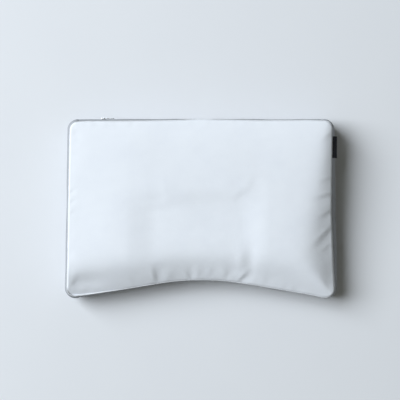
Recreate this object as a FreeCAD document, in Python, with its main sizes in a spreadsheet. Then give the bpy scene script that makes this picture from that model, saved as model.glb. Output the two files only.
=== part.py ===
"""Contoured head pillow: a boxed, zipped cover round an inner bag of filled chambers.

Millimetres. The origin is the middle of the pillow on the surface it lies on: +X runs along
the long side, +Y points to the straight zipped side and +Z is up. The neck side, at -Y, is
drawn in as a shallow arch. Every layer follows the same outline, set in by its own amount.
"""
import FreeCAD, Part
import math
import os
import Sketcher
from FreeCAD import Placement, Rotation, Vector

SIZES = {
    # The pillow seen from above, measured where the side panels bulge furthest.
    "front_width": 600,
    "depth": 395,
    "flare_angle": 0.9,
    "arch_rise": 39,
    "arch_radius": 540,
    "arch_slope": 9.7,
    "corner_radius": 24,
    # Heights from the ground up: base seam, side band, then the crown's steep and gentle slopes.
    "base_seam_height": 8,
    "gusset_height": 56,
    "crown_edge_rise": 20,
    "crown_top_rise": 16,
    "crown_edge_inset": 18,
    "crown_top_inset": 62,
    # How far the side band bulges past its seams, and where the bulge bends.
    "gusset_bulge": 12,
    "bulge_shoulder_inset": 3.2,
    "bulge_shoulder_half": 20.5,
    "bulge_flat_half": 12,
    "base_bevel": 16,
    # Cloth and the slack between one layer and the next.
    "cover_thickness": 1.5,
    "cover_slack": 2.0,
    "bag_thickness": 0.8,
    "fill_slack": 0.4,
    "seam_edge_width": 2.4,
    "seam_edge_thickness": 1.6,
    # Inner bag: two foam sheets set the height, below a pocket sheet and five chambers.
    "pad_thickness": 10,
    "pad_gap": 0.3,
    "neck_chamber_depth": 68.5,
    "centre_chamber_depth": 105,
    "centre_chamber_width": 270,
    "centre_drop": 12,
    # Where the side panels are joined to the neck and zip panels.
    "corner_join": 34,
    # Zip, across the closing line and below the outermost line of the side panels.
    "zip_slot_gap": 1.05,
    "zip_hem_width": 4,
    "zip_end_margin": 52,
    "tape_edge": 2.2,
    "tape_width": 10.8,
    "tape_thickness": 0.6,
    "tape_depth": 4.0,
    "chain_thickness": 2.4,
    "tooth_pitch": 3.6,
    "tooth_root": 1.5,
    "tooth_tip": 1.1,
    "tooth_reach": 0.9,
    "rail_edge": 1.1,
    "rail_width": 2.0,
    # Slider: a hollow Y with a post, carried on the outside by a bail for the pull.
    "slider_gap": 0.3,
    "slider_plate": 1.2,
    "slider_length": 12,
    "slider_wall": 0.95,
    "slider_mouth_half": 5.2,
    "slider_post_half": 0.9,
    "bail_length": 8,
    "bail_window": 5.2,
    "bail_rise": 2.2,
    "bail_bar": 1.0,
    "bail_width": 1.6,
    "pull_bar_radius": 0.7,
    "pull_length": 24,
    "pull_thickness": 1.2,
    "pull_eye_gap": 0.5,
    "pull_arm": 1.3,
    "pull_tip_half": 3.5,
    "pull_reach_gap": 0.9,
    "stop_length": 2.4,
    "stop_wall": 0.7,
    # Labels.
    "label_length": 47,
    "label_reach": 12,
    "label_ply": 0.4,
    "label_tilt": 22,
    "label_from_rear": 63.5,
    "care_width": 30,
    "care_height": 44,
}

DOCUMENT = FreeCAD.newDocument("head_pillow")
SHEET = DOCUMENT.addObject("Spreadsheet::Sheet", "Dims")
NODES = []

# Lengths used by several pieces, written with the sheet's names.
FACE_SEAM_Z = "(Dims.base_seam_height + Dims.gusset_height)"
FACE_Z = "(Dims.base_seam_height + Dims.gusset_height + Dims.seam_edge_thickness / 2)"
EDGE_Z = "(Dims.base_seam_height + Dims.gusset_height + Dims.crown_edge_rise)"
TOP_Z = EDGE_Z[:-1] + " + Dims.crown_top_rise)"
BASE_Z = "(Dims.base_seam_height - Dims.seam_edge_thickness / 2)"
BAG_GAP = "(Dims.cover_thickness + Dims.cover_slack)"
BAG_INNER_GAP = "(Dims.cover_thickness + Dims.cover_slack + Dims.bag_thickness)"
FILL_GAP = "(Dims.cover_thickness + Dims.cover_slack + Dims.bag_thickness + Dims.fill_slack)"
MIDDLE_Z = "(Dims.base_seam_height + Dims.gusset_height / 2)"
SEAM_CORNER = "(Dims.corner_radius - Dims.gusset_bulge)"
PADS_TOP = FILL_GAP[:-1] + " + 2 * Dims.pad_thickness + Dims.pad_gap)"
SHEET_Z = PADS_TOP[:-1] + " + Dims.fill_slack)"
CHAMBER_Z = SHEET_Z[:-1] + " + Dims.bag_thickness)"
JOIN_X = "(Dims.front_width / 2 - Dims.corner_join)"
CHAIN_HALF = JOIN_X[:-1] + " - Dims.zip_end_margin)"
SLIDER_X = "-(%s + Dims.slider_length / 12)" % CHAIN_HALF
SLOT_HALF = "(Dims.slider_mouth_half + Dims.slider_wall + Dims.zip_slot_gap)"
PULL_EYE_HALF = "(Dims.bail_width / 2 + Dims.pull_eye_gap)"
PULL_NECK_HALF = PULL_EYE_HALF[:-1] + " + Dims.pull_arm)"
PULL_EYE_END = "(Dims.bail_length / 2 + Dims.pull_reach_gap)"
NECK_Y = "(Dims.arch_rise + Dims.neck_chamber_depth - Dims.depth / 2)"
REAR_Y = NECK_Y[:-1] + " + Dims.centre_chamber_depth)"
PULL_RISE = ("(Dims.chain_thickness + Dims.slider_gap + Dims.slider_plate - Dims.tape_depth"
             " + Dims.bail_rise / 2)")


def fill_sheet():
    for row, (alias, number) in enumerate(SIZES.items(), 1):
        SHEET.set("A%d" % row, alias)
        SHEET.set("B%d" % row, str(number))
        SHEET.setAlias("B%d" % row, alias)
    DOCUMENT.recompute()


def value(expression):
    """The number an expression has now, for drawing a sketch close to its solution."""
    result = SHEET.evalExpression(str(expression))
    return float(getattr(result, "Value", result))


def new_body(label):
    body = DOCUMENT.addObject("PartDesign::Body", label)
    body.Label = label
    return body


def keep(piece, label):
    """Marks a finished object as a sub-part that gets a file of its own."""
    piece.Label = label
    NODES.append(piece)
    return piece


def sketch_on(body, role, name, offset="0"):
    """A sketch on one of the body's own origin planes, moved along the plane's normal."""
    plane = next(item for item in body.Origin.OriginFeatures if item.Role == role)
    sketch = body.newObject("Sketcher::SketchObject", body.Name + "_" + name)
    sketch.AttachmentSupport = [(plane, "")]
    sketch.MapMode = "FlatFace"
    sketch.setExpression("AttachmentOffset.Base.z", offset)
    return sketch


def dimension(sketch, name, constraint, expression):
    index = sketch.addConstraint(constraint)
    sketch.renameConstraint(index, name)
    sketch.setExpression("Constraints." + name, expression)


def polygon(sketch, corners):
    """Closed straight-sided loop whose corners are placed by expressions."""
    points = [Vector(value(across), value(up), 0) for across, up in corners]
    first = len(sketch.Geometry)
    count = len(points)
    for index in range(count):
        sketch.addGeometry(Part.LineSegment(points[index], points[(index + 1) % count]), False)
    for index in range(count):
        follower = first + (index + 1) % count
        sketch.addConstraint(Sketcher.Constraint("Coincident", first + index, 2, follower, 1))
    for index, (across, up) in enumerate(corners):
        line = first + index
        along_x = Sketcher.Constraint("DistanceX", -1, 1, line, 1, points[index].x)
        along_y = Sketcher.Constraint("DistanceY", -1, 1, line, 1, points[index].y)
        dimension(sketch, "across_%d" % line, along_x, str(across))
        dimension(sketch, "up_%d" % line, along_y, str(up))


def rectangle(sketch, left, bottom, right, top):
    polygon(sketch, [(left, bottom), (right, bottom), (right, top), (left, top)])


def pad(body, sketch, length, middle=False):
    feature = body.newObject("PartDesign::Pad", body.Name + "_pad")
    feature.Profile = sketch
    feature.Midplane = middle
    feature.setExpression("Length", length)
    return feature


def pocket(body, sketch, length, middle=False):
    """Cuts along the sketch's normal, or both ways from a sketch in the middle."""
    feature = body.newObject("PartDesign::Pocket", body.Name + "_pocket")
    feature.Profile = sketch
    feature.Reversed = True
    feature.Midplane = middle
    feature.setExpression("Length", length)
    return feature


def line_meets_line(first_normal, first_distance, second_normal, second_distance):
    """Point where two lines cross, each given by its unit normal and distance from the origin."""
    cross = first_normal[0] * second_normal[1] - first_normal[1] * second_normal[0]
    across = (first_distance * second_normal[1] - second_distance * first_normal[1]) / cross
    up = (first_normal[0] * second_distance - second_normal[0] * first_distance) / cross
    return across, up


def step_from(point, distance, direction):
    return point[0] + distance * direction[0], point[1] + distance * direction[1]


def mirrored(point):
    return -point[0], point[1]


def line_between(start, end):
    return Part.LineSegment(Vector(*start, 0), Vector(*end, 0))


def arc_about(centre, radius, start_angle, end_angle):
    circle = Part.Circle(Vector(*centre, 0), Vector(0, 0, 1), radius)
    return Part.ArcOfCircle(circle, start_angle, end_angle)


def outline(body, name, inset, height, corner):
    """The pillow's outline, set in by inset: a straight rear, flared sides and an arched front.

    The front is a round hollow between two straight runs that fall to the corners. Every
    outline shares the hollow's centre and the lines' angles, so each keeps its distance.
    """
    sketch = sketch_on(body, "XY_Plane", name, height)
    set_in = value(inset)
    radius = value(corner)
    flare = math.radians(value("Dims.flare_angle"))
    slope = math.radians(value("Dims.arch_slope"))
    half_depth = value("Dims.depth") / 2
    side_normal = (math.cos(flare), math.sin(flare))
    front_normal = (-math.sin(slope), -math.cos(slope))
    hollow = (0, value("Dims.arch_rise") - half_depth - value("Dims.arch_radius"))
    hollow_radius = value("Dims.arch_radius") + set_in
    half_width = value("Dims.front_width") / 2
    side = half_width * side_normal[0] - half_depth * side_normal[1] - set_in
    rear = half_depth - set_in
    front = front_normal[1] * hollow[1] - hollow_radius

    rear_corner = line_meets_line(side_normal, side - radius, (0, 1), rear - radius)
    front_corner = line_meets_line(side_normal, side - radius, front_normal, front - radius)
    rear_end = step_from(rear_corner, radius, (0, 1))
    side_rear = step_from(rear_corner, radius, side_normal)
    side_front = step_from(front_corner, radius, side_normal)
    front_end = step_from(front_corner, radius, front_normal)
    hollow_end = step_from(hollow, -hollow_radius, front_normal)
    side_angle = flare
    front_angle = -math.pi / 2 - slope
    hollow_angle = math.pi / 2 - slope

    sketch.addGeometry([
        line_between(rear_end, mirrored(rear_end)),
        arc_about(mirrored(rear_corner), radius, math.pi / 2, math.pi - side_angle),
        line_between(mirrored(side_rear), mirrored(side_front)),
        arc_about(mirrored(front_corner), radius, math.pi - side_angle, math.pi - front_angle),
        line_between(mirrored(front_end), mirrored(hollow_end)),
        arc_about(hollow, hollow_radius, hollow_angle, math.pi - hollow_angle),
        line_between(hollow_end, front_end),
        arc_about(front_corner, radius, front_angle, side_angle),
        line_between(side_front, side_rear),
        arc_about(rear_corner, radius, side_angle, math.pi / 2),
    ], False)
    joins = [(0, 2, 1, 1), (1, 2, 2, 1), (2, 2, 3, 1), (3, 2, 4, 1), (4, 2, 5, 2),
             (5, 1, 6, 1), (6, 2, 7, 1), (7, 2, 8, 1), (8, 2, 9, 1), (9, 2, 0, 1)]
    for join in joins:
        sketch.addConstraint(Sketcher.Constraint("Tangent", *join))
    sketch.addConstraint(Sketcher.Constraint("Symmetric", 1, 3, 9, 3, -2))
    sketch.addConstraint(Sketcher.Constraint("Symmetric", 3, 3, 7, 3, -2))
    sketch.addConstraint(Sketcher.Constraint("Equal", 1, 9))
    sketch.addConstraint(Sketcher.Constraint("Equal", 3, 7))
    sketch.addConstraint(Sketcher.Constraint("Equal", 7, 9))
    sketch.addConstraint(Sketcher.Constraint("PointOnObject", 5, 3, -2))

    dimension(sketch, "corner", Sketcher.Constraint("Radius", 9, radius), corner)
    dimension(sketch, "rear", Sketcher.Constraint("DistanceY", -1, 1, 0, 1, rear),
              "Dims.depth / 2 - %s" % inset)
    dimension(sketch, "side", Sketcher.Constraint("Distance", -1, 1, 8, side),
              "Dims.front_width / 2 * cos(Dims.flare_angle * 1 deg)"
              " - Dims.depth / 2 * sin(Dims.flare_angle * 1 deg) - %s" % inset)
    dimension(sketch, "flare", Sketcher.Constraint("Angle", -2, 8, flare), "Dims.flare_angle * 1 deg")
    dimension(sketch, "slope", Sketcher.Constraint("Angle", 6, -1, slope), "Dims.arch_slope * 1 deg")
    dimension(sketch, "hollow", Sketcher.Constraint("Radius", 5, hollow_radius),
              "Dims.arch_radius + %s" % inset)
    dimension(sketch, "hollow_centre", Sketcher.Constraint("DistanceY", 5, 3, -1, 1, -hollow[1]),
              "Dims.depth / 2 - Dims.arch_rise + Dims.arch_radius")
    return sketch


def loft(body, kind, name, stations):
    """Flat-sloped solid through outlines, one slope between each outline and the next.

    A station is an inset, a height and a corner radius.
    """
    sketches = []
    for index, (inset, height, corner) in enumerate(stations):
        sketches.append(outline(body, "%s_%d" % (name, index), inset, height, corner))
    for lower, upper in zip(sketches, sketches[1:]):
        slope = body.newObject(kind, lower.Name + "_slope")
        slope.Profile = lower
        slope.Sections = [upper]
        slope.Ruled = True


def crown_stations(gap):
    """The crown at a given distance inside the cover's outer surface, from the seam up."""
    return [
        ("(Dims.gusset_bulge + %s)" % gap, FACE_Z, SEAM_CORNER),
        ("(Dims.gusset_bulge + Dims.crown_edge_inset + %s)" % gap, "%s - %s" % (EDGE_Z, gap),
         SEAM_CORNER),
        ("(Dims.gusset_bulge + Dims.crown_top_inset + %s)" % gap, "%s - %s" % (TOP_Z, gap),
         SEAM_CORNER),
    ]


def base_stations(gap, rim):
    """The flat underside and its bevel up to the base seam, at a given distance inside."""
    return [
        ("(Dims.gusset_bulge + Dims.base_bevel + %s)" % gap, gap, SEAM_CORNER),
        ("(Dims.gusset_bulge + %s)" % gap, rim, SEAM_CORNER),
    ]


def shell(label, outer, inner):
    """A cloth panel: the solid through one set of stations less the solid through another."""
    body = new_body(label)
    loft(body, "PartDesign::AdditiveLoft", "outer", outer)
    loft(body, "PartDesign::SubtractiveLoft", "inner", inner)
    return body


def ring(label, outer_inset, inner_inset, bottom, height):
    """An upright band between two outlines."""
    body = new_body(label)
    pad(body, outline(body, "outer", outer_inset, bottom, SEAM_CORNER), height)
    pocket(body, outline(body, "inner", inner_inset, bottom, SEAM_CORNER), height)
    return keep(body, label)


def make_panels():
    """Face and base panels of the cover, and the stitched edges that stand out at both seams."""
    keep(shell("face_panel", crown_stations("0"), crown_stations("Dims.cover_thickness")),
         "face_panel")
    keep(shell("base_panel", base_stations("0", BASE_Z),
               base_stations("Dims.cover_thickness", BASE_Z)), "base_panel")
    for label, middle in (("face_seam_edge", FACE_SEAM_Z),
                          ("base_seam_edge", "Dims.base_seam_height")):
        ring(label, "(Dims.gusset_bulge - Dims.seam_edge_width)",
             "(Dims.gusset_bulge + Dims.cover_thickness)",
             "%s - Dims.seam_edge_thickness / 2" % middle, "Dims.seam_edge_thickness")


def band_stations(gap):
    """The bowed side band at a given distance inside: steep at both seams, upright between."""
    half = "Dims.gusset_height / 2 - Dims.seam_edge_thickness / 2"
    levels = [("Dims.gusset_bulge", "-", half),
              ("Dims.bulge_shoulder_inset", "-", "Dims.bulge_shoulder_half"),
              ("0", "-", "Dims.bulge_flat_half"),
              ("0", "+", "Dims.bulge_flat_half"),
              ("Dims.bulge_shoulder_inset", "+", "Dims.bulge_shoulder_half"),
              ("Dims.gusset_bulge", "+", half)]
    return [("(%s + %s)" % (inset, gap), "%s %s (%s)" % (MIDDLE_Z, sign, rise),
             "Dims.corner_radius - %s - %s" % (inset, gap)) for inset, sign, rise in levels]


def block(name, low, high):
    """A box between two corners whose six sizes are expressions."""
    box = DOCUMENT.addObject("Part::Box", name)
    for side, axis, start, end in zip(("Length", "Width", "Height"), "xyz", low, high):
        box.setExpression(side, "(%s) - (%s)" % (end, start))
        box.setExpression("Placement.Base." + axis, start)
    return box


def common(label, base, tool):
    piece = DOCUMENT.addObject("Part::Common", label + "_common")
    piece.Base = base
    piece.Tool = tool
    return piece


def make_side_panels(band):
    """The band cut at its joins into neck, left and right panels and the two zip panels.

    The zip panels stop at the slot, where their edges are turned in as a hem down to the tape.
    """
    left = "-" + JOIN_X
    far = "Dims.front_width"
    back = "-" + far
    regions = {
        "neck_gusset": ((left, back, "0"), (JOIN_X, "0", TOP_Z)),
        "left_gusset": ((back, back, "0"), (left, far, TOP_Z)),
        "right_gusset": ((JOIN_X, back, "0"), (far, far, TOP_Z)),
    }
    for label, (low, high) in regions.items():
        keep(common(label, band, block(label + "_region", low, high)), label)

    hem_low = "Dims.depth / 2 - Dims.tape_depth"
    hem_high = "Dims.depth / 2 - Dims.cover_thickness"
    above = "%s + %s" % (MIDDLE_Z, SLOT_HALF)
    below = "%s - %s" % (MIDDLE_Z, SLOT_HALF)
    halves = {
        "zip_panel_upper": (above, TOP_Z, above, above + " + Dims.zip_hem_width"),
        "zip_panel_lower": ("0", below, below + " - Dims.zip_hem_width", below),
    }
    for label, (low, high, hem_from, hem_to) in halves.items():
        strip = common(label, band, block(label + "_region", (left, "0", low), (JOIN_X, far, high)))
        hem = block(label + "_hem", (left, hem_low, hem_from), (JOIN_X, hem_high, hem_to))
        joined = DOCUMENT.addObject("Part::Fuse", label + "_fuse")
        joined.Base = strip
        joined.Tool = hem
        joined.Refine = True
        keep(joined, label)


def zip_body(label, along="0"):
    """A body whose own origin is on the closing line, at the outermost line of the side band."""
    body = new_body(label)
    body.setExpression("Placement.Base.x", along)
    body.setExpression("Placement.Base.y", "Dims.depth / 2")
    body.setExpression("Placement.Base.z", MIDDLE_Z)
    return body


def make_tapes():
    """Woven zip tapes: they run into the joins at both ends and lie behind the hems."""
    for label, near, far in (
            ("zip_tape_upper", "Dims.tape_edge", "Dims.tape_edge + Dims.tape_width"),
            ("zip_tape_lower", "-(Dims.tape_edge + Dims.tape_width)", "-Dims.tape_edge")):
        body = zip_body(label)
        sketch = sketch_on(body, "XZ_Plane", "profile", "Dims.tape_depth")
        rectangle(sketch, "-" + JOIN_X, near, JOIN_X, far)
        pad(body, sketch, "Dims.tape_thickness")
        keep(body, label)


def make_teeth():
    """One row of teeth a side, on a rail sewn along the tape's edge, meshing across the line."""
    count = "floor((2 * %s - Dims.tooth_pitch) / Dims.tooth_pitch)" % CHAIN_HALF
    outer_face = "Dims.tape_depth - Dims.chain_thickness"
    for label, side, shift in (("zip_teeth_upper", "1", "0"),
                               ("zip_teeth_lower", "-1", "Dims.tooth_pitch / 2")):
        body = zip_body(label, "-%s + %s" % (CHAIN_HALF, shift))
        rail = sketch_on(body, "XZ_Plane", "rail", outer_face)
        near = "%s * Dims.rail_edge" % side
        far = "%s * (Dims.rail_edge + Dims.rail_width)" % side
        low, high = (near, far) if side == "1" else (far, near)
        rectangle(rail, "0", low, "2 * %s - Dims.tooth_pitch" % CHAIN_HALF, high)
        pad(body, rail, "Dims.chain_thickness")
        tooth = sketch_on(body, "XZ_Plane", "tooth", outer_face)
        corners = [("Dims.tooth_pitch / 2 - Dims.tooth_root / 2", near),
                   ("Dims.tooth_pitch / 2 - Dims.tooth_tip / 2", "%s * -Dims.tooth_reach" % side),
                   ("Dims.tooth_pitch / 2 + Dims.tooth_tip / 2", "%s * -Dims.tooth_reach" % side),
                   ("Dims.tooth_pitch / 2 + Dims.tooth_root / 2", near)]
        polygon(tooth, corners)
        single = pad(body, tooth, "Dims.chain_thickness")
        single.Label = label + "_tooth"
        row = body.newObject("PartDesign::LinearPattern", label + "_row")
        row.Originals = [single]
        row.Direction = (tooth, ["H_Axis"])
        row.setExpression("Occurrences", count)
        row.setExpression("Length", "Dims.tooth_pitch * (%s - 1)" % count)
        body.Tip = row
        keep(body, label)


def make_slider():
    """Slider: two plates joined by the post, with walls that close in on the chain.

    The mouth faces -X, so that moving towards +X parts the teeth. The tapes leave through the
    side slots, and a bail over the outer plate carries the pull.
    """
    body = zip_body("zip_slider", SLIDER_X)
    half = "Dims.slider_length / 2"
    top = "(Dims.tape_depth - Dims.chain_thickness - Dims.slider_gap)"
    bottom = "(Dims.tape_depth + Dims.tape_thickness + Dims.slider_gap)"
    throat = "(Dims.rail_edge + Dims.rail_width + Dims.slider_gap)"
    shoulder = "-Dims.slider_length / 6"

    outside = sketch_on(body, "XZ_Plane", "outside", top + " - Dims.slider_plate")
    polygon(outside, [
        ("-" + half, "-(Dims.slider_mouth_half + Dims.slider_wall)"),
        (shoulder, "-(Dims.slider_mouth_half + Dims.slider_wall)"),
        (half, "-(%s + Dims.slider_wall)" % throat),
        (half, "%s + Dims.slider_wall" % throat),
        (shoulder, "Dims.slider_mouth_half + Dims.slider_wall"),
        ("-" + half, "Dims.slider_mouth_half + Dims.slider_wall")])
    pad(body, outside, "%s - %s + 2 * Dims.slider_plate" % (bottom, top))

    channel = sketch_on(body, "XZ_Plane", "channel", top)
    past = "(%s + Dims.slider_wall)" % half
    polygon(channel, [
        ("-" + past, "-Dims.slider_mouth_half"),
        (shoulder, "-Dims.slider_mouth_half"),
        ("Dims.slider_length / 12", "-" + throat),
        (past, "-" + throat),
        (past, throat),
        ("Dims.slider_length / 12", throat),
        (shoulder, "Dims.slider_mouth_half"),
        ("-" + past, "Dims.slider_mouth_half")])
    draw_post(channel)
    pocket(body, channel, "%s - %s" % (bottom, top))

    slot_top = "(Dims.tape_depth - Dims.slider_gap)"
    slot = sketch_on(body, "XZ_Plane", "slot", slot_top)
    wide = "2 * Dims.slider_mouth_half"
    rectangle(slot, "-" + past, "-" + wide, past, wide)
    draw_post(slot)
    pocket(body, slot, "%s - %s" % (bottom, slot_top))

    bail = sketch_on(body, "XY_Plane", "bail")
    plate = "-(%s - Dims.slider_plate)" % top
    rise = "%s + Dims.bail_rise" % plate
    polygon(bail, [
        ("-Dims.bail_length / 2", plate),
        ("-Dims.bail_window / 2", plate),
        ("-Dims.bail_window / 2", rise),
        ("Dims.bail_window / 2", rise),
        ("Dims.bail_window / 2", plate),
        ("Dims.bail_length / 2", plate),
        ("Dims.bail_length / 2", rise),
        ("Dims.bail_window / 2", rise + " + Dims.bail_bar"),
        ("-Dims.bail_window / 2", rise + " + Dims.bail_bar"),
        ("-Dims.bail_length / 2", rise)])
    pad(body, bail, "Dims.bail_width", middle=True)
    keep(body, "zip_slider")


def draw_post(sketch):
    """The post that divides the two rows: a wedge with its point towards the throat."""
    front = "-Dims.slider_length / 2"
    polygon(sketch, [
        (front, "-Dims.slider_post_half / 2"),
        ("-Dims.slider_length / 3", "-Dims.slider_post_half"),
        ("-Dims.slider_length / 12", "0"),
        ("-Dims.slider_length / 3", "Dims.slider_post_half"),
        (front, "Dims.slider_post_half / 2")])


def make_pull():
    """Pull: a flat tab with an open eye, hung by its cross bar in the slider's bail."""
    body = zip_body("zip_pull", SLIDER_X)
    body.setExpression("Placement.Base.y", "Dims.depth / 2 + " + PULL_RISE)
    outside = sketch_on(body, "XZ_Plane", "outside")
    polygon(outside, [
        ("0", "-" + PULL_NECK_HALF),
        (PULL_EYE_END, "-" + PULL_NECK_HALF),
        ("Dims.pull_length", "-Dims.pull_tip_half"),
        ("Dims.pull_length", "Dims.pull_tip_half"),
        (PULL_EYE_END, PULL_NECK_HALF),
        ("0", PULL_NECK_HALF)])
    pad(body, outside, "Dims.pull_thickness", middle=True)
    eye = sketch_on(body, "XZ_Plane", "eye")
    rectangle(eye, "-Dims.pull_thickness", "-" + PULL_EYE_HALF, PULL_EYE_END, PULL_EYE_HALF)
    pocket(body, eye, "2 * Dims.pull_thickness", middle=True)
    bar = sketch_on(body, "XY_Plane", "bar")
    bar.addGeometry(Part.Circle(Vector(0, 0, 0), Vector(0, 0, 1), value("Dims.pull_bar_radius")))
    bar.addConstraint(Sketcher.Constraint("Coincident", 0, 3, -1, 1))
    dimension(bar, "bar_radius", Sketcher.Constraint("Radius", 0, value("Dims.pull_bar_radius")),
              "Dims.pull_bar_radius")
    plain = pad(body, bar, "2 * " + PULL_NECK_HALF, middle=True)
    DOCUMENT.recompute()
    tip = value("Dims.pull_length")
    corners = ["Edge%d" % (index + 1) for index, edge in enumerate(plain.Shape.Edges)
               if all(abs(vertex.X - tip) < 0.01 for vertex in edge.Vertexes)
               and abs(edge.Vertexes[0].Y - edge.Vertexes[-1].Y) > 0.01]
    rounding = body.newObject("PartDesign::Fillet", "zip_pull_tip")
    rounding.Base = (plain, corners)
    rounding.setExpression("Radius", "Dims.pull_tip_half - Dims.pull_thickness / 2")
    keep(body, "zip_pull")


def make_stops():
    """Clips on each tape at the closed end, and one block over both tapes at the far end."""
    inner = "-(Dims.tape_depth + Dims.tape_thickness + Dims.stop_wall)"
    outer = "-(Dims.tape_depth - Dims.stop_wall)"
    under = "-(Dims.tape_depth + Dims.tape_thickness)"
    over = "-Dims.tape_depth"
    place = SLIDER_X + " - Dims.slider_length / 2 - Dims.stop_length - Dims.slider_gap"
    for label, side in (("zip_top_stop_upper", "1"), ("zip_top_stop_lower", "-1")):
        body = zip_body(label, place)
        profile = sketch_on(body, "YZ_Plane", "profile")
        near = "%s * (Dims.tape_edge - Dims.stop_wall)" % side
        edge = "%s * Dims.tape_edge" % side
        far = "%s * (Dims.tape_edge + 3 * Dims.stop_wall)" % side
        polygon(profile, [(inner, near), (outer, near), (outer, far), (over, far),
                          (over, edge), (under, edge), (under, far), (inner, far)])
        pad(body, profile, "Dims.stop_length")
        keep(body, label)

    body = zip_body("zip_end_stop", CHAIN_HALF)
    profile = sketch_on(body, "YZ_Plane", "profile")
    wide = "(Dims.rail_edge + Dims.rail_width)"
    chain = "-(Dims.tape_depth - Dims.chain_thickness)"
    edge = "Dims.tape_edge"
    polygon(profile, [
        (inner, "-" + wide), (under, "-" + wide), (under, "-" + edge), (over, "-" + edge),
        (over, "-" + wide), (chain, "-" + wide), (chain, wide), (over, wide),
        (over, edge), (under, edge), (under, wide), (inner, wide)])
    pad(body, profile, "Dims.stop_length")
    keep(body, "zip_end_stop")


def seam_body(label, side, inset, height, place):
    """A body at the side seam, turned with the flare of the sides; side is 1 for +X."""
    body = new_body(label)
    across = ("%s * (Dims.front_width / 2 - (%s + Dims.depth / 2) * tan(Dims.flare_angle * 1 deg)"
              " - (%s) / cos(Dims.flare_angle * 1 deg))" % (side, place, inset))
    body.setExpression("Placement.Base.x", across)
    body.setExpression("Placement.Base.y", place)
    body.setExpression("Placement.Base.z", height)
    body.Placement.Rotation = Rotation(Vector(0, 0, 1), 1)
    body.setExpression("Placement.Rotation.Angle", "%s * Dims.flare_angle" % side)
    return body


def make_labels():
    """A folded ribbon label in the right-hand face seam, and the care label inside the left."""
    body = seam_body("side_label", "1", "(Dims.gusset_bulge - Dims.seam_edge_width)",
                     FACE_SEAM_Z, "(Dims.depth / 2 - Dims.label_from_rear)")
    loop = sketch_on(body, "XZ_Plane", "loop")
    reach = "(Dims.label_reach * cos(Dims.label_tilt * 1 deg))"
    drop = "(Dims.label_reach * sin(Dims.label_tilt * 1 deg))"
    polygon(loop, [
        ("0", "-Dims.label_ply"),
        (reach, "-Dims.label_ply - " + drop),
        (reach + " + Dims.label_ply", "-" + drop),
        (reach, "Dims.label_ply - " + drop),
        ("0", "Dims.label_ply")])
    pad(body, loop, "Dims.label_length", middle=True)
    keep(body, "side_label")

    body = seam_body("care_label", "-1", "(Dims.gusset_bulge + Dims.cover_thickness)",
                     BASE_Z, "0")
    leaf = sketch_on(body, "XZ_Plane", "leaf")
    rectangle(leaf, "0", "0", "Dims.label_ply", "Dims.care_height")
    pad(body, leaf, "Dims.care_width", middle=True)
    keep(body, "care_label")


def sheet_piece(label, inset, bottom, thickness):
    """A flat layer cut to the outline."""
    body = new_body(label)
    pad(body, outline(body, "edge", inset, bottom, SEAM_CORNER), thickness)
    return keep(body, label)


def make_bag():
    """Inner bag: face, wall and base panels, and the pocket sheet that holds the height pads."""
    keep(shell("bag_face", crown_stations(BAG_GAP), crown_stations(BAG_INNER_GAP)), "bag_face")
    keep(shell("bag_base", base_stations(BAG_GAP, "Dims.base_seam_height"),
               base_stations(BAG_INNER_GAP, "Dims.base_seam_height")), "bag_base")
    inner_wall = "(Dims.gusset_bulge + %s)" % BAG_INNER_GAP
    ring("bag_wall", "(Dims.gusset_bulge + %s)" % BAG_GAP, inner_wall,
         "Dims.base_seam_height", FACE_Z + " - Dims.base_seam_height")
    sheet_piece("pad_pocket", inner_wall, SHEET_Z, "Dims.bag_thickness")
    pad_inset = "(Dims.gusset_bulge + Dims.base_bevel + %s)" % FILL_GAP
    sheet_piece("height_pad_lower", pad_inset, FILL_GAP, "Dims.pad_thickness")
    sheet_piece("height_pad_upper", pad_inset,
                FILL_GAP + " + Dims.pad_thickness + Dims.pad_gap", "Dims.pad_thickness")


def inner_solid(name, gap, bottom):
    """Everything inside the bag above the pocket sheet, as one solid to cut pieces from."""
    body = new_body(name)
    floor = ("(Dims.gusset_bulge + %s)" % gap, bottom, SEAM_CORNER)
    loft(body, "PartDesign::AdditiveLoft", "room", [floor] + crown_stations(gap))
    return body


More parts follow.
